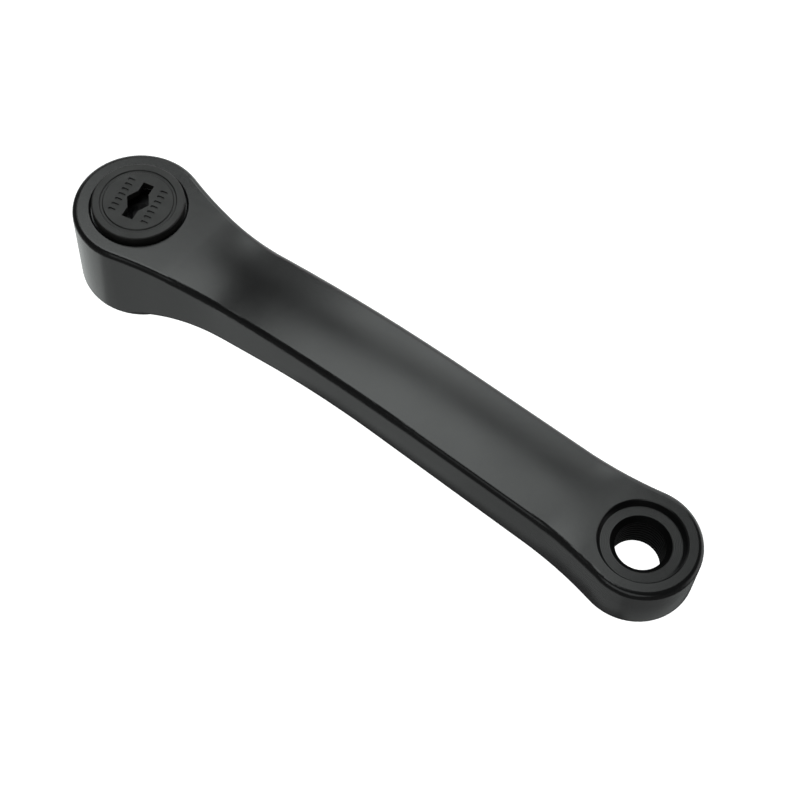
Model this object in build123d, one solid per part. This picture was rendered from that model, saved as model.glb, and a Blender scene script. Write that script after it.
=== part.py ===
from build123d import *

import os
from math import copysign, cos, radians, sin, sqrt, tan

# A left-hand bicycle crank arm for a square-taper spindle: the forged arm,
# the screw-in dust cap over the spindle bolt, and the bolt with its washer.
# Millimetres. The origin is on the spindle axis, on the inner face of the
# boss. +X runs along the arm to the pedal eye and +Z points outboard.

# Arm, plan
ARM_LENGTH = 170.0
BOSS_RADIUS = 18.6
EYE_RADIUS = 15.7
NECK_RADIUS = 125.0
EYE_BLEND_RADIUS = 110.0
HALF_WIDTH_AT_NECK = 12.4
HALF_WIDTH_AT_EYE = 12.85
NECK_X = 48.0
EYE_BLEND_X = 140.0

# Arm, side view
BOSS_FACE_Z = 28.7
DIP_START_X = 22.0
DIP_END_X = 43.0
CREST_X = 107.0
CLIMB_ANGLE = 10.3
OUTER_FACE_ANGLE = 0.55
BACK_ROOT_RADIUS = 95.0
BACK_ROOT_X = 38.0
BACK_ROOT_Z = 13.2
BACK_CLIMB_ANGLE = 13.2
BACK_LINE_END_X = 57.0
BACK_FLAT_X = 95.0
BACK_FALL_ANGLE = -0.55
RIM_RADIUS = 1.6
BACK_EDGE_RADIUS = 2.0
BOSS_BACK_EDGE_RADIUS = 1.8
PROFILE_OVERRUN = 4.0

# Square-taper spindle socket
SHELF_Z = 19.0
SOCKET_MOUTH = 13.95
SOCKET_TAPER = 2.0
SOCKET_CORNER_RADIUS = 2.0

# Extractor thread M22 x 1 and the dust cap's seat
EXTRACTOR_MINOR_RADIUS = 10.46
EXTRACTOR_MAJOR_RADIUS = 11.0
EXTRACTOR_PITCH = 1.0
EXTRACTOR_LEAD = 0.5
EXTRACTOR_RUNOUT_LOW = 0.8
EXTRACTOR_RUNOUT_HIGH = 0.6
CAP_SEAT_RADIUS = 13.4
CAP_SEAT_Z = 27.9
CAP_SEAT_CHAMFER = 0.6

# Every thread is cut as vee rings; the cutters start this far off the surface
THREAD_HALF_ANGLE = 30.0
CUTTER_CLEARANCE = 0.2
CUTTER_OVERRUN = 2.0

# Pedal thread 9/16 in x 20 TPI
PEDAL_MINOR_RADIUS = 6.58
PEDAL_MAJOR_RADIUS = 7.144
PEDAL_PITCH = 1.27
SPOTFACE_RADIUS = 11.75
SPOTFACE_FLOOR_RADIUS = 10.5
SPOTFACE_LEAD = 0.3
SPOTFACE_DEPTH = 2.0
PEDAL_MOUTH_RADIUS = 7.85
PEDAL_BACK_RADIUS = 9.2

# Dust cap
CAP_TOP_Z = 31.0
CAP_RADIUS = 13.05
CAP_FACE_THICKNESS = 2.2
CAP_SKIRT_RADIUS = 10.4
CAP_SKIRT_ROOT_RADIUS = 9.9
CAP_SKIRT_INNER_RADIUS = 9.2
CAP_SKIRT_BOTTOM_Z = 24.8
CAP_SKIRT_CHAMFER = 0.5
CAP_THREAD_RUNOUT_LOW = 0.6
CAP_THREAD_RUNOUT_HIGH = 0.4
CAP_EDGE_RADIUS = 0.45
CAP_GROOVE_RADIUS = 10.3
CAP_GROOVE_WIDTH = 1.1
CAP_GROOVE_DEPTH = 0.3
CAP_HEX = 6.0
CAP_SLOT_LENGTH = 12.7
CAP_SLOT_WIDTH = 3.3
CAP_SLOT_ANGLE = 103.5
CAP_MARK_LENGTH = 2.2
CAP_MARK_WIDTH = 0.9
CAP_MARK_DEPTH = 0.35
CAP_MARK_OFFSET = 5.1
CAP_MARK_COUNT = 7
CAP_MARK_SPACING = 1.9

# Spindle bolt M8 x 1 and its washer
SEAT_GAP = 0.02
WASHER_RADIUS = 9.5
WASHER_HOLE_RADIUS = 4.05
WASHER_THICKNESS = 1.8
WASHER_CHAMFER = 0.3
BOLT_HEX = 14.0
BOLT_HEAD_HEIGHT = 4.8
BOLT_CROWN_RADIUS = 6.7
BOLT_CROWN_DROP = 1.2
BOLT_DISH_RADIUS = 3.2
BOLT_DISH_FLOOR_RADIUS = 2.0
BOLT_DISH_DEPTH = 0.8
BOLT_RADIUS = 3.97
BOLT_ROOT_RADIUS = 3.39
BOLT_PITCH = 1.0
BOLT_TIP_Z = 4.8
BOLT_TIP_RADIUS = 3.19
BOLT_TIP_LENGTH = 0.8
BOLT_TIP_RUNOUT = 1.0
BOLT_PLAIN_LENGTH = 2.6


def side_line():
    """Start, direction and outward normal of the arm's upper side line."""
    slope = (HALF_WIDTH_AT_EYE - HALF_WIDTH_AT_NECK) / (EYE_BLEND_X - NECK_X)
    length = sqrt(1 + slope**2)
    start = Vector(0, HALF_WIDTH_AT_NECK - slope * NECK_X)
    along = Vector(1 / length, slope / length)
    normal = Vector(-slope / length, 1 / length)
    return start, along, normal


def blend_centre(centre, radius, blend, side):
    """Centre of the arc that joins a round end to the side line."""
    start, along, normal = side_line()
    offset = centre - start
    run = offset.dot(along)
    height = offset.dot(normal)
    reach = sqrt((radius + blend) ** 2 - (blend - height) ** 2)
    return start + along * (run + side * reach) + normal * blend


def plan_outline():
    """The arm seen along the spindle: boss, waist and pedal eye."""
    boss = Vector(0, 0)
    eye = Vector(ARM_LENGTH, 0)
    normal = side_line()[2]
    neck = blend_centre(boss, BOSS_RADIUS, NECK_RADIUS, 1)
    flare = blend_centre(eye, EYE_RADIUS, EYE_BLEND_RADIUS, -1)
    leave_boss = neck.normalized() * BOSS_RADIUS
    leave_neck = neck - normal * NECK_RADIUS
    reach_flare = flare - normal * EYE_BLEND_RADIUS
    reach_eye = eye + (flare - eye).normalized() * EYE_RADIUS
    with BuildSketch() as plan:
        with BuildLine():
            arc = TangentArc((-BOSS_RADIUS, 0), leave_boss, tangent=(0, 1))
            arc = TangentArc(leave_boss, leave_neck, tangent=arc % 1)
            arc = Line(leave_neck, reach_flare)
            arc = TangentArc(reach_flare, reach_eye, tangent=arc % 1)
            TangentArc(reach_eye, (ARM_LENGTH + EYE_RADIUS, 0), tangent=arc % 1)
            mirror(about=Plane.XZ)
        make_face()
    return plan.sketch


def bend(start, end_x, start_angle, end_angle):
    """End point of an arc in the side view that turns between two angles."""
    half = radians((start_angle + end_angle) / 2)
    return Vector(end_x, start.Y + (end_x - start.X) * tan(half))


def slope_from(start, end_x, angle):
    """End point of a straight stretch in the side view."""
    return Vector(end_x, start.Y + (end_x - start.X) * tan(radians(angle)))


def heading(angle):
    """Unit direction at an angle in the side view."""
    return (cos(radians(angle)), sin(radians(angle)))


def outer_bends():
    """Points where the outer face's curve changes, from the boss outwards."""
    dip_start = Vector(DIP_START_X, BOSS_FACE_Z)
    dip_end = bend(dip_start, DIP_END_X, 0, CLIMB_ANGLE)
    crest = bend(dip_end, CREST_X, CLIMB_ANGLE, OUTER_FACE_ANGLE)
    return dip_start, dip_end, crest


def inner_bends():
    """Points where the inner face's curve changes, from the boss outwards."""
    root_end = Vector(BACK_ROOT_X, BACK_ROOT_Z)
    line_end = slope_from(root_end, BACK_LINE_END_X, BACK_CLIMB_ANGLE)
    back_start = bend(line_end, BACK_FLAT_X, BACK_CLIMB_ANGLE, BACK_FALL_ANGLE)
    return root_end, line_end, back_start


def outer_face_z(x):
    """Height of the arm's outer face on its straight outer stretch."""
    return slope_from(outer_bends()[2], x, OUTER_FACE_ANGLE).Y


def inner_face_z(x):
    """Height of the arm's inner face on its straight outer stretch."""
    return slope_from(inner_bends()[2], x, BACK_FALL_ANGLE).Y


def side_profile():
    """The arm seen from the side: dipped neck outside, swept root inside."""
    margin = BOSS_RADIUS + PROFILE_OVERRUN
    far_x = ARM_LENGTH + margin
    dip_start, dip_end, crest = outer_bends()
    face_start = Vector(-margin, BOSS_FACE_Z)
    face_end = slope_from(crest, far_x, OUTER_FACE_ANGLE)

    root_end, line_end, back_start = inner_bends()
    back_end = slope_from(back_start, far_x, BACK_FALL_ANGLE)
    centre_x = BACK_ROOT_X + BACK_ROOT_RADIUS * sin(radians(BACK_CLIMB_ANGLE))
    centre_z = BACK_ROOT_Z - BACK_ROOT_RADIUS * cos(radians(BACK_CLIMB_ANGLE))
    root_z = centre_z + sqrt(BACK_ROOT_RADIUS**2 - (centre_x + margin) ** 2)
    root_start = Vector(-margin, root_z)

    with BuildSketch(Plane.XZ) as side:
        with BuildLine():
            Line(face_start, dip_start)
            TangentArc(dip_start, dip_end, tangent=(1, 0))
            TangentArc(dip_end, crest, tangent=heading(CLIMB_ANGLE))
            Polyline(crest, face_end, back_end, back_start)
            TangentArc(line_end, back_start, tangent=heading(BACK_CLIMB_ANGLE))
            Line(line_end, root_end)
            backwards = heading(BACK_CLIMB_ANGLE + 180)
            TangentArc(root_end, root_start, tangent=backwards)
            Line(root_start, face_start)
        make_face()
    return side.sketch


def rim_edges(body, upper):
    """The closed chain of edges round the arm's outer or inner face."""
    inner_end = -BOSS_RADIUS / 2
    outer_end = ARM_LENGTH + EYE_RADIUS / 2
    dividing_z = BOSS_FACE_Z - 1
    chain = []
    for edge in body.edges():
        middle = edge.position_at(0.5)
        on_centre = abs(middle.Y) < HALF_WIDTH_AT_NECK / 2
        across = on_centre and inner_end < middle.X < outer_end
        upright = abs(edge.tangent_at(0.5).Z) > 0.95
        if across or upright:
            continue
        if (middle.Z > dividing_z) == upper:
            chain.append(edge)
    return chain


def arm_blank():
    """The forged arm before machining, with its round edges."""
    deep = 3 * BOSS_RADIUS
    tall = Pos(0, 0, -deep) * extrude(plan_outline(), amount=2 * deep)
    wide = extrude(side_profile(), amount=2 * BOSS_RADIUS, both=True)
    body = tall & wide
    body = body.fillet(RIM_RADIUS, rim_edges(body, True))
    body = body.fillet(BACK_EDGE_RADIUS, rim_edges(body, False))
    body = body & Pos(ARM_LENGTH / 2, 0, deep) * Box(2 * ARM_LENGTH, 4 * BOSS_RADIUS, 2 * deep)
    boss = extrude(Plane.XY * Circle(BOSS_RADIUS), amount=SHELF_Z)
    return body + boss - boss_edge_trim()


def turned(*points):
    """Solid turned about the spindle axis from radius and height points."""
    outline = Polyline(*points, close=True)
    return revolve(Plane.XZ * make_face(outline), axis=Axis.Z)


def boss_edge_trim():
    """Ring cut that rounds the edge of the boss's inner face."""
    r = BOSS_BACK_EDGE_RADIUS
    inner = BOSS_RADIUS - r
    with BuildSketch(Plane.XZ) as ring:
        with BuildLine():
            TangentArc((inner, 0), (BOSS_RADIUS, r), tangent=(1, 0))
            Polyline((BOSS_RADIUS, r), (BOSS_RADIUS + 2 * r, 3 * r), (BOSS_RADIUS + 2 * r, -r),
                     (inner, -r), (inner, 0))
        make_face()
    return revolve(ring.sketch, axis=Axis.Z)


def thread_rings(surface, root, pitch, bottom_z, top_z):
    """V-shaped ring cuts that stand for a thread, from a surface to its root radius."""
    start = surface + copysign(CUTTER_CLEARANCE, surface - root)
    half = abs(surface - root) * tan(radians(THREAD_HALF_ANGLE))
    count = int((top_z - bottom_z) / pitch)
    first = bottom_z + ((top_z - bottom_z) - (count - 1) * pitch) / 2
    cuts = []
    for index in range(count):
        z = first + index * pitch
        cuts.append(turned((start, z - half), (surface, z - half), (root, z),
                           (surface, z + half), (start, z + half)))
    return cuts


def spindle_socket():
    """The tapered square hole that fits the end of the spindle."""
    mouth = RectangleRounded(SOCKET_MOUTH, SOCKET_MOUTH, SOCKET_CORNER_RADIUS)
    return extrude(Plane.XY * mouth, amount=SHELF_Z + 1, taper=SOCKET_TAPER)


def extractor_cavity():
    """Bore above the shelf, widening to the dust cap's seat."""
    above = CAP_TOP_Z + CUTTER_OVERRUN
    lip = CAP_SEAT_RADIUS + CAP_SEAT_CHAMFER
    return turned(
        (0, SHELF_Z),
        (EXTRACTOR_MINOR_RADIUS, SHELF_Z),
        (EXTRACTOR_MINOR_RADIUS, CAP_SEAT_Z - EXTRACTOR_LEAD),
        (EXTRACTOR_MINOR_RADIUS + EXTRACTOR_LEAD, CAP_SEAT_Z),
        (CAP_SEAT_RADIUS, CAP_SEAT_Z),
        (CAP_SEAT_RADIUS, BOSS_FACE_Z - CAP_SEAT_CHAMFER),
        (lip, BOSS_FACE_Z),
        (lip + above - BOSS_FACE_Z, above),
        (0, above),
    )


def pedal_hole():
    """Flared spotface, mouth, minor-diameter hole and the countersink behind it."""
    face_z = outer_face_z(ARM_LENGTH)
    floor_z = face_z - SPOTFACE_DEPTH
    back_z = inner_face_z(ARM_LENGTH)
    hole = turned(
        (0, back_z - CUTTER_OVERRUN),
        (PEDAL_BACK_RADIUS + CUTTER_OVERRUN, back_z - CUTTER_OVERRUN),
        (PEDAL_MINOR_RADIUS, back_z + PEDAL_BACK_RADIUS - PEDAL_MINOR_RADIUS),
        (PEDAL_MINOR_RADIUS, floor_z - PEDAL_MOUTH_RADIUS + PEDAL_MINOR_RADIUS),
        (PEDAL_MOUTH_RADIUS, floor_z),
        (SPOTFACE_FLOOR_RADIUS, floor_z),
        (SPOTFACE_RADIUS - SPOTFACE_LEAD, face_z - SPOTFACE_LEAD),
        (SPOTFACE_RADIUS + CUTTER_OVERRUN, face_z + CUTTER_OVERRUN),
        (0, face_z + CUTTER_OVERRUN),
    )
    return Pos(ARM_LENGTH, 0, 0) * hole


def make_crank_arm():
    """The machined arm."""
    arm = arm_blank() - spindle_socket() - extractor_cavity() - pedal_hole()
    for ring in thread_rings(EXTRACTOR_MINOR_RADIUS, EXTRACTOR_MAJOR_RADIUS, EXTRACTOR_PITCH,
                             SHELF_Z + EXTRACTOR_RUNOUT_LOW, CAP_SEAT_Z - EXTRACTOR_RUNOUT_HIGH):
        arm -= ring
    face_z = outer_face_z(ARM_LENGTH)
    pedal_top = face_z - SPOTFACE_DEPTH - PEDAL_MOUTH_RADIUS + PEDAL_MINOR_RADIUS
    pedal_bottom = inner_face_z(ARM_LENGTH) + PEDAL_BACK_RADIUS - PEDAL_MINOR_RADIUS
    for ring in thread_rings(PEDAL_MINOR_RADIUS, PEDAL_MAJOR_RADIUS, PEDAL_PITCH,
                             pedal_bottom, pedal_top):
        arm -= Pos(ARM_LENGTH, 0, 0) * ring
    return arm


def cap_opening():
    """Hexagon for a key crossed with a slot for a coin."""
    hexagon = RegularPolygon(CAP_HEX / 2, 6, major_radius=False, rotation=CAP_SLOT_ANGLE - 90)
    slot = Rot(0, 0, CAP_SLOT_ANGLE) * Rectangle(CAP_SLOT_LENGTH, CAP_SLOT_WIDTH)
    return Pos(0, 0, CAP_SKIRT_BOTTOM_Z) * extrude(hexagon + slot, amount=CAP_TOP_Z)


def cap_marks():
    """A straight row of short sunk strokes on each side of the slot."""
    stroke = SlotOverall(CAP_MARK_LENGTH, CAP_MARK_WIDTH, rotation=90)
    cutter = extrude(stroke, amount=CAP_MARK_DEPTH, both=True)
    marks = []
    for side in (-1, 1):
        for index in range(CAP_MARK_COUNT):
            along = (index - (CAP_MARK_COUNT - 1) / 2) * CAP_MARK_SPACING
            place = Rot(0, 0, CAP_SLOT_ANGLE) * Pos(along, side * CAP_MARK_OFFSET, CAP_TOP_Z)
            marks.append(place * cutter)
    return marks


def make_dust_cap():
    """Screw-in cap: broad flange, grooved face and a hollow skirt."""
    flange_z = CAP_SEAT_Z + SEAT_GAP
    under_z = CAP_TOP_Z - CAP_FACE_THICKNESS
    body = turned(
        (0, under_z),
        (CAP_SKIRT_INNER_RADIUS, under_z),
        (CAP_SKIRT_INNER_RADIUS, CAP_SKIRT_BOTTOM_Z),
        (CAP_SKIRT_RADIUS - CAP_SKIRT_CHAMFER, CAP_SKIRT_BOTTOM_Z),
        (CAP_SKIRT_RADIUS, CAP_SKIRT_BOTTOM_Z + CAP_SKIRT_CHAMFER),
        (CAP_SKIRT_RADIUS, flange_z),
        (CAP_RADIUS, flange_z),
        (CAP_RADIUS, CAP_TOP_Z),
        (0, CAP_TOP_Z),
    )
    rim = body.edges().filter_by(GeomType.CIRCLE).group_by(Axis.Z)[-1]
    body = body.fillet(CAP_EDGE_RADIUS, rim)
    half = CAP_GROOVE_WIDTH / 2
    floor_z = CAP_TOP_Z - CAP_GROOVE_DEPTH
    start_z = CAP_TOP_Z + CUTTER_CLEARANCE
    body -= turned(
        (CAP_GROOVE_RADIUS - half, start_z),
        (CAP_GROOVE_RADIUS - half, CAP_TOP_Z),
        (CAP_GROOVE_RADIUS - half / 2, floor_z),
        (CAP_GROOVE_RADIUS + half / 2, floor_z),
        (CAP_GROOVE_RADIUS + half, CAP_TOP_Z),
        (CAP_GROOVE_RADIUS + half, start_z),
    )
    body -= cap_opening()
    for mark in cap_marks():
        body -= mark
    for ring in skirt_thread():
        body -= ring
    return body


def skirt_thread():
    """V-shaped ring cuts that stand for the cap's external thread."""
    return thread_rings(CAP_SKIRT_RADIUS, CAP_SKIRT_ROOT_RADIUS, EXTRACTOR_PITCH,
                        CAP_SKIRT_BOTTOM_Z + CAP_THREAD_RUNOUT_LOW,
                        CAP_SEAT_Z - CAP_THREAD_RUNOUT_HIGH)


def make_bolt_washer():
    """Thick washer under the bolt's head."""
    bottom_z = SHELF_Z + SEAT_GAP
    washer = Cylinder(WASHER_RADIUS, WASHER_THICKNESS)
    washer -= Cylinder(WASHER_HOLE_RADIUS, WASHER_THICKNESS)
    upper_edges = washer.edges().filter_by(GeomType.CIRCLE).group_by(Axis.Z)[-1]
    washer = washer.chamfer(WASHER_CHAMFER, None, upper_edges)
    return Pos(0, 0, bottom_z + WASHER_THICKNESS / 2) * washer


def make_crank_bolt():
    """Hexagon-head bolt that draws the arm onto the spindle."""
    seat_z = SHELF_Z + 2 * SEAT_GAP + WASHER_THICKNESS
    top_z = seat_z + BOLT_HEAD_HEIGHT
    outside = BOLT_HEX / 2 / cos(radians(30)) + 1
    hexagon = RegularPolygon(BOLT_HEX / 2, 6, major_radius=False)
    head = Pos(0, 0, seat_z) * extrude(hexagon, amount=BOLT_HEAD_HEIGHT)
    crown = turned((0, seat_z - 1), (outside, seat_z - 1), (outside, top_z - BOLT_CROWN_DROP),
                   (BOLT_CROWN_RADIUS, top_z), (0, top_z))
    head = head & crown
    shank = turned((0, BOLT_TIP_Z), (BOLT_TIP_RADIUS, BOLT_TIP_Z),
                   (BOLT_RADIUS, BOLT_TIP_Z + BOLT_TIP_LENGTH), (BOLT_RADIUS, seat_z + 1),
                   (0, seat_z + 1))
    bolt = head + shank
    for ring in thread_rings(BOLT_RADIUS, BOLT_ROOT_RADIUS, BOLT_PITCH,
                             BOLT_TIP_Z + BOLT_TIP_RUNOUT, seat_z - BOLT_PLAIN_LENGTH):
        bolt -= ring
    dish = turned((0, top_z - BOLT_DISH_DEPTH), (BOLT_DISH_FLOOR_RADIUS, top_z - BOLT_DISH_DEPTH),
                  (BOLT_DISH_RADIUS, top_z), (0, top_z))
    return bolt - dish


os.makedirs("parts", exist_ok=True)
export_step(make_crank_arm(), "parts/crank_arm.step")
export_step(make_dust_cap(), "parts/dust_cap.step")
export_step(make_crank_bolt(), "parts/crank_bolt.step")
export_step(make_bolt_washer(), "parts/bolt_washer.step")
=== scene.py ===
import math

import bpy
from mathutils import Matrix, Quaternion, Vector

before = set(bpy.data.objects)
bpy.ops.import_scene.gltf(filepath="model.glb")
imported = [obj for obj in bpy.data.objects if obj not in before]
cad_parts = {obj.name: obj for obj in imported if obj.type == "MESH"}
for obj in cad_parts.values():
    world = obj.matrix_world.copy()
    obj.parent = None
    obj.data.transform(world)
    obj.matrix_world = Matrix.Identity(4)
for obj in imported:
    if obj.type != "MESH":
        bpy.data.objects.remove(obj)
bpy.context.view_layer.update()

# Camera, in metres in the row frame
CAMERA_PLACE = Vector((0.2297, -0.2022, 0.4401))
CAMERA_AIM = Vector((0.0962, -0.0038, 0.0310))
CAMERA_ROLL = math.radians(4.96)
CAMERA_LENS_MM = 81.0
CAMERA_SENSOR_MM = 36.0

# Places on the arm that the finishes follow, in metres
SPINDLE_X = 0.0
PEDAL_X = 0.170
BARE_RADIUS = 0.0112
BARE_LOW_Z = 0.0004
BARE_TOP_Z = 0.0276
SPOTFACE_RADIUS = 0.0106
SPOTFACE_LOW_Z = 0.0345
THREAD_RADIUS = 0.0080
TOOL_MARK_PITCH = 0.00042

# The outer face is shaded as a shallow crown across the arm, between the boss and the eye
CROWN_RADIUS = 0.105
CROWN_START_X = 0.018
CROWN_FULL_X = 0.040
CROWN_FADE_X = 0.148
CROWN_END_X = 0.160

# The side walls are shaded as tucked in towards the inner face, more and more below this height
TUCK_RADIUS = 0.060
TUCK_TOP_Z = 0.031
TUCK_START_X = 0.050
TUCK_FULL_X = 0.085

# Finishes: pairs of linear colours and pairs of roughnesses, which a noise mixes
PAINT_SHADES = ((0.0060, 0.0060, 0.0062, 1), (0.0092, 0.0095, 0.0097, 1))
METAL_SHADES = ((0.50, 0.50, 0.51, 1), (0.68, 0.68, 0.69, 1))
CAP_SHADES = ((0.0085, 0.0085, 0.0080, 1), (0.014, 0.014, 0.013, 1))
BOLT_SHADES = ((0.020, 0.020, 0.021, 1), (0.040, 0.040, 0.041, 1))
WASHER_SHADES = ((0.030, 0.030, 0.031, 1), (0.060, 0.060, 0.061, 1))
FLOOR_SHADES = ((0.90, 0.90, 0.90, 1), (0.93, 0.93, 0.93, 1))
PAINT_ROUGHNESS = (0.20, 0.25)
PAINT_SPECK_ROUGHNESS = (-0.01, 0.02)
METAL_ROUGHNESS = (0.30, 0.46)
CAP_ROUGHNESS = (0.44, 0.55)
OXIDE_ROUGHNESS = (0.42, 0.58)
THREAD_SHADE = (0.010, 0.010, 0.010, 1)
THREAD_ROUGHNESS = 0.62

# Most of a noise's values lie between these two
NOISE_LOW = 0.3
NOISE_HIGH = 0.7

FLOOR_Z = -0.30
FLOOR_HALF = 40.0
FLOOR_ROUGHNESS = 0.9
FLOOR_EMISSION = 0.75

# Radiance of the surroundings, and of the glow round their horizon, by the view's direction
WORLD_BASE = 0.05
FRONT_GLOW = 0.05
BACK_GLOW = 1.0
GLOW_TOP = 0.50
GLOW_FULL = 0.25
BEHIND_START_Y = 0.1
BEHIND_FULL_Y = 0.5

WHITE = (1, 1, 1, 1)
PANEL_TINT = (0.955, 1.0, 0.985)

# Studio panels: x, y and z of the centre, width along x, depth along y, and radiance
PANELS = {
    "near_boss": (-0.535, 0.205, 0.96, 0.26, 0.51, 2.75),
    "near_arm": (-0.2525, 0.225, 0.96, 0.305, 0.55, 2.9),
    "near_eye": (-0.0425, 0.225, 0.96, 0.115, 0.55, 2.35),
    "near_end": (0.055, 0.225, 0.96, 0.08, 0.55, 1.2),
    "far_arm": (-0.4325, 0.82, 0.96, 0.465, 0.36, 3.0),
    "far_eye": (-0.0925, 0.82, 0.96, 0.215, 0.36, 2.0),
    "far_edge": (-0.33, 1.50, 0.96, 0.90, 0.98, 1.4),
    "near_left": (-0.885, 0.12, 0.96, 0.43, 0.40, 0.5),
    "far_left": (-0.885, 0.94, 0.96, 0.43, 0.44, 0.65),
    "front_fill": (0.55, -1.20, 0.96, 1.50, 1.20, 1.0),
    "table_left": (-0.415, -0.10, -0.28, 0.57, 0.70, 0.8),
    "table_middle": (-0.045, -0.28, -0.28, 0.17, 0.36, 0.42),
    "table_right": (0.13, -0.28, -0.28, 0.18, 0.36, 0.32),
    "table_end": (0.30, -0.10, -0.28, 0.16, 0.26, 0.20),
    "table_corner": (0.30, 0.13, -0.28, 0.16, 0.20, 0.22),
    "table_far": (-0.10, 0.95, -0.28, 1.10, 1.30, 0.9),
}


class Nodes:
    """A node tree, with short ways to add and join nodes."""

    def __init__(self, tree):
        self.tree = tree

    def node(self, kind, **settings):
        made = self.tree.nodes.new(kind)
        for key, value in settings.items():
            setattr(made, key, value)
        return made

    def feed(self, socket, value):
        if hasattr(value, "is_output"):
            self.tree.links.new(value, socket)
        else:
            socket.default_value = value

    def split(self, vector):
        made = self.node("ShaderNodeSeparateXYZ")
        self.feed(made.inputs[0], vector)
        return made.outputs

    def math(self, operation, *values, clamp=False):
        made = self.node("ShaderNodeMath", operation=operation, use_clamp=clamp)
        for socket, value in zip(made.inputs, values):
            self.feed(socket, value)
        return made.outputs[0]

    def map(self, value, low, high, to_low=0.0, to_high=1.0, kind="LINEAR"):
        made = self.node("ShaderNodeMapRange", interpolation_type=kind)
        for socket, number in zip(made.inputs, (value, low, high, to_low, to_high)):
            self.feed(socket, number)
        return made.outputs[0]

    def ramp(self, value, low, high, to_low=0.0, to_high=1.0):
        return self.map(value, low, high, to_low, to_high, kind="SMOOTHSTEP")


class Shader(Nodes):
    """A material's node tree, with what its finishes share."""

    def __init__(self, name):
        self.material = bpy.data.materials.new(name)
        self.material.use_nodes = True
        super().__init__(self.material.node_tree)
        self.surface = self.tree.nodes["Principled BSDF"]
        self.place = self.node("ShaderNodeTexCoord").outputs["Object"]

    def noise(self, scale, detail, roughness=0.5):
        made = self.node("ShaderNodeTexNoise")
        self.feed(made.inputs["Vector"], self.place)
        self.feed(made.inputs["Scale"], scale)
        self.feed(made.inputs["Detail"], detail)
        self.feed(made.inputs["Roughness"], roughness)
        return made.outputs["Fac"]

    def spread(self, noise, limits):
        return self.map(noise, NOISE_LOW, NOISE_HIGH, *limits)

    def mix(self, amount, first, second):
        made = self.node("ShaderNodeMix", data_type="FLOAT")
        for index, value in ((0, amount), (2, first), (3, second)):
            self.feed(made.inputs[index], value)
        return made.outputs[0]

    def mix_colours(self, amount, first, second):
        made = self.node("ShaderNodeMix", data_type="RGBA")
        for index, value in ((0, amount), (6, first), (7, second)):
            self.feed(made.inputs[index], value)
        return made.outputs[2]

    def bump(self, height, distance, strength=1.0, normal=None):
        made = self.node("ShaderNodeBump")
        self.feed(made.inputs["Height"], height)
        self.feed(made.inputs["Distance"], distance)
        self.feed(made.inputs["Strength"], strength)
        if normal is not None:
            self.feed(made.inputs["Normal"], normal)
        return made.outputs["Normal"]

    def set(self, **sockets):
        for name, value in sockets.items():
            self.feed(self.surface.inputs[name.replace("_", " ")], value)


def distance_from_axis(shader, x, y, axis_x):
    """How far a point is from an upright axis on the arm's centre line."""
    across = shader.math("SUBTRACT", x, axis_x)
    squares = shader.math("ADD", shader.math("MULTIPLY", across, across),
                          shader.math("MULTIPLY", y, y))
    return shader.math("SQRT", squares)


def crown(shader, x, y):
    """Height of a shallow crown across the arm, fading out at both ends."""
    rise = shader.ramp(x, CROWN_START_X, CROWN_FULL_X)
    fall = shader.ramp(x, CROWN_END_X, CROWN_FADE_X)
    height = shader.math("MULTIPLY", shader.math("MULTIPLY", y, y), -0.5 / CROWN_RADIUS)
    return shader.math("MULTIPLY", height, shader.math("MULTIPLY", rise, fall))


def tuck(shader, x, z):
    """Height of a shallow undercut along the lower part of the side walls."""
    drop = shader.math("MAXIMUM", shader.math("SUBTRACT", TUCK_TOP_Z, z), 0.0)
    height = shader.math("MULTIPLY", shader.math("MULTIPLY", drop, drop), -0.5 / TUCK_RADIUS)
    return shader.math("MULTIPLY", height, shader.ramp(x, TUCK_START_X, TUCK_FULL_X))


def bare_metal(shader, spindle, z):
    """1 inside the boss, between the socket's mouth and the cap's seat, and 0 elsewhere."""
    inside = shader.math("LESS_THAN", spindle, BARE_RADIUS)
    below = shader.math("LESS_THAN", z, BARE_TOP_Z)
    above = shader.math("GREATER_THAN", z, BARE_LOW_Z)
    return shader.math("MULTIPLY", shader.math("MULTIPLY", inside, below), above)


def tool_marks(shader, spindle, pedal, z, bare):
    """Fine turned rings inside the boss and on the spotface's floor."""
    on_spotface = shader.math("MULTIPLY", shader.math("LESS_THAN", pedal, SPOTFACE_RADIUS),
                              shader.math("GREATER_THAN", z, SPOTFACE_LOW_Z))
    turned = shader.math("ADD", bare, on_spotface, clamp=True)
    nearest = shader.math("MINIMUM", spindle, pedal)
    rings = shader.math("SINE", shader.math("MULTIPLY", nearest, math.tau / TOOL_MARK_PITCH))
    return shader.math("MULTIPLY", rings, turned)


def arm_colour(shader, cloud, bare, in_thread):
    """Black paint and a black thread, with bare metal inside the boss."""
    paint = shader.mix_colours(cloud, *PAINT_SHADES)
    metal = shader.mix_colours(shader.noise(scale=900.0, detail=4.0), *METAL_SHADES)
    coated = shader.mix_colours(in_thread, paint, THREAD_SHADE)
    return shader.mix_colours(bare, coated, metal)


def arm_roughness(shader, cloud, bare, in_thread):
    """Satin paint, a duller thread, and the cut metal inside the boss."""
    speck = shader.noise(scale=2600.0, detail=2.0)
    satin = shader.math("ADD", shader.spread(cloud, PAINT_ROUGHNESS),
                        shader.spread(speck, PAINT_SPECK_ROUGHNESS))
    coated = shader.mix(in_thread, satin, THREAD_ROUGHNESS)
    cut = shader.spread(shader.noise(scale=1400.0, detail=3.0), METAL_ROUGHNESS)
    return shader.mix(bare, coated, cut)


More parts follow.
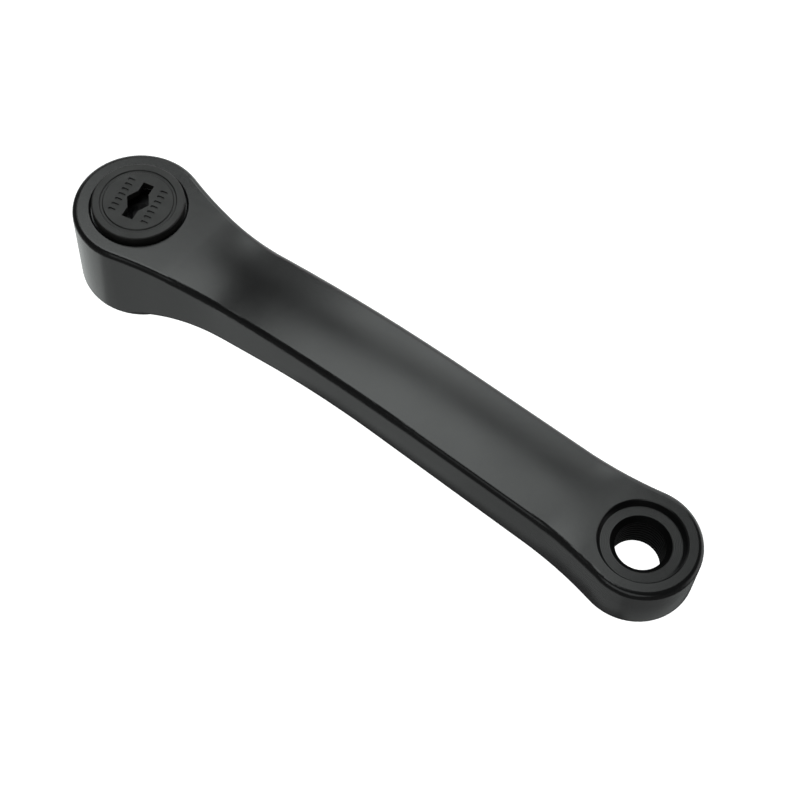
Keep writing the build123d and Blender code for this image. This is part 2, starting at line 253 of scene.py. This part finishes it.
def arm_paint():
    """Satin black paint; bare machined aluminium inside the boss."""
    shader = Shader("arm_paint")
    x, y, z = shader.split(shader.place)
    spindle = distance_from_axis(shader, x, y, SPINDLE_X)
    pedal = distance_from_axis(shader, x, y, PEDAL_X)
    bare = bare_metal(shader, spindle, z)
    in_thread = shader.math("LESS_THAN", pedal, THREAD_RADIUS)
    cloud = shader.noise(scale=55.0, detail=4.0)
    peel = shader.noise(scale=520.0, detail=2.0, roughness=0.4)
    marks = tool_marks(shader, spindle, pedal, z, bare)

    curves = shader.math("ADD", crown(shader, x, y), tuck(shader, x, z))
    curved = shader.bump(curves, distance=1.0)
    grained = shader.bump(peel, distance=0.00003, strength=0.30, normal=curved)
    shader.set(Base_Color=arm_colour(shader, cloud, bare, in_thread),
               Metallic=shader.math("MAXIMUM", bare, in_thread),
               Roughness=arm_roughness(shader, cloud, bare, in_thread),
               Normal=shader.bump(marks, distance=0.000006, strength=0.6, normal=grained))
    return shader.material


def cap_plastic():
    """Moulded black plastic with a fine spark-eroded texture."""
    shader = Shader("cap_plastic")
    mottle = shader.noise(scale=160.0, detail=5.0)
    texture = shader.noise(scale=3200.0, detail=3.0, roughness=0.6)
    shader.set(Base_Color=shader.mix_colours(mottle, *CAP_SHADES),
               Roughness=shader.spread(mottle, CAP_ROUGHNESS),
               Normal=shader.bump(texture, distance=0.00003, strength=0.5))
    return shader.material


def black_oxide(name, shades):
    """Black-oxide steel, slightly clouded and scuffed."""
    shader = Shader(name)
    cloud = shader.noise(scale=240.0, detail=5.0)
    scuff = shader.noise(scale=2200.0, detail=4.0)
    shader.set(Base_Color=shader.mix_colours(cloud, *shades),
               Metallic=1.0,
               Roughness=shader.spread(scuff, OXIDE_ROUGHNESS),
               Normal=shader.bump(scuff, distance=0.00001, strength=0.4))
    return shader.material


def pale_floor():
    """Near-white studio sweep."""
    shader = Shader("pale_floor")
    cloud = shader.noise(scale=3.0, detail=2.0)
    shader.set(Base_Color=shader.mix_colours(cloud, *FLOOR_SHADES),
               Roughness=FLOOR_ROUGHNESS,
               Emission_Color=WHITE,
               Emission_Strength=FLOOR_EMISSION)
    return shader.material


def dress(node, material):
    """Gives a CAD node its finish."""
    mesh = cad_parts[node].data
    mesh.materials.clear()
    mesh.materials.append(material)


def add_to_scene(name, data):
    """Makes an object in the scene."""
    made = bpy.data.objects.new(name, data)
    bpy.context.scene.collection.objects.link(made)
    return made


def add_floor():
    """A flat sweep well below the arm, which doesn't show in reflections."""
    half = FLOOR_HALF
    mesh = bpy.data.meshes.new("floor")
    corners = [(-half, -half, FLOOR_Z), (half, -half, FLOOR_Z),
               (half, half, FLOOR_Z), (-half, half, FLOOR_Z)]
    mesh.from_pydata(corners, [], [(0, 1, 2, 3)])
    mesh.materials.append(pale_floor())
    floor = add_to_scene("floor", mesh)
    floor.visible_glossy = False


def add_panel(name, x, y, z, width, depth, radiance):
    """A level soft light, facing down if it is above the arm and up if below."""
    light = bpy.data.lights.new(name, "AREA")
    light.shape = "RECTANGLE"
    light.size = width
    light.size_y = depth
    light.energy = radiance * math.pi * width * depth
    light.color = PANEL_TINT
    panel = add_to_scene(name, light)
    panel.location = (x, y, z)
    panel.rotation_euler = (0.0 if z > 0 else math.pi, 0.0, 0.0)
    panel.visible_camera = False


def add_world():
    """Dim surroundings with a soft glow round the horizon, brighter behind the arm."""
    world = bpy.data.worlds.new("studio")
    bpy.context.scene.world = world
    world.use_nodes = True
    nodes = Nodes(world.node_tree)
    direction = nodes.split(nodes.node("ShaderNodeTexCoord").outputs["Generated"])
    band = nodes.ramp(nodes.math("ABSOLUTE", direction["Z"]), GLOW_TOP, GLOW_FULL)
    behind = nodes.ramp(direction["Y"], BEHIND_START_Y, BEHIND_FULL_Y, FRONT_GLOW, BACK_GLOW)
    background = nodes.tree.nodes["Background"]
    nodes.feed(background.inputs["Color"], WHITE)
    nodes.feed(background.inputs["Strength"],
               nodes.math("MULTIPLY_ADD", band, behind, WORLD_BASE))


def add_camera():
    """The photograph's view."""
    data = bpy.data.cameras.new("camera")
    data.lens = CAMERA_LENS_MM
    data.sensor_width = CAMERA_SENSOR_MM
    camera = add_to_scene("camera", data)
    look = (CAMERA_AIM - CAMERA_PLACE).to_track_quat("-Z", "Y")
    camera.rotation_mode = "QUATERNION"
    camera.rotation_quaternion = look @ Quaternion((0, 0, 1), CAMERA_ROLL)
    camera.location = CAMERA_PLACE
    bpy.context.scene.camera = camera


dress("crank_arm", arm_paint())
dress("dust_cap", cap_plastic())
dress("crank_bolt", black_oxide("bolt_steel", BOLT_SHADES))
dress("bolt_washer", black_oxide("washer_steel", WASHER_SHADES))

add_world()
add_floor()
for name, numbers in PANELS.items():
    add_panel(name, *numbers)
add_camera()

bpy.context.scene.view_settings.view_transform = "Standard"
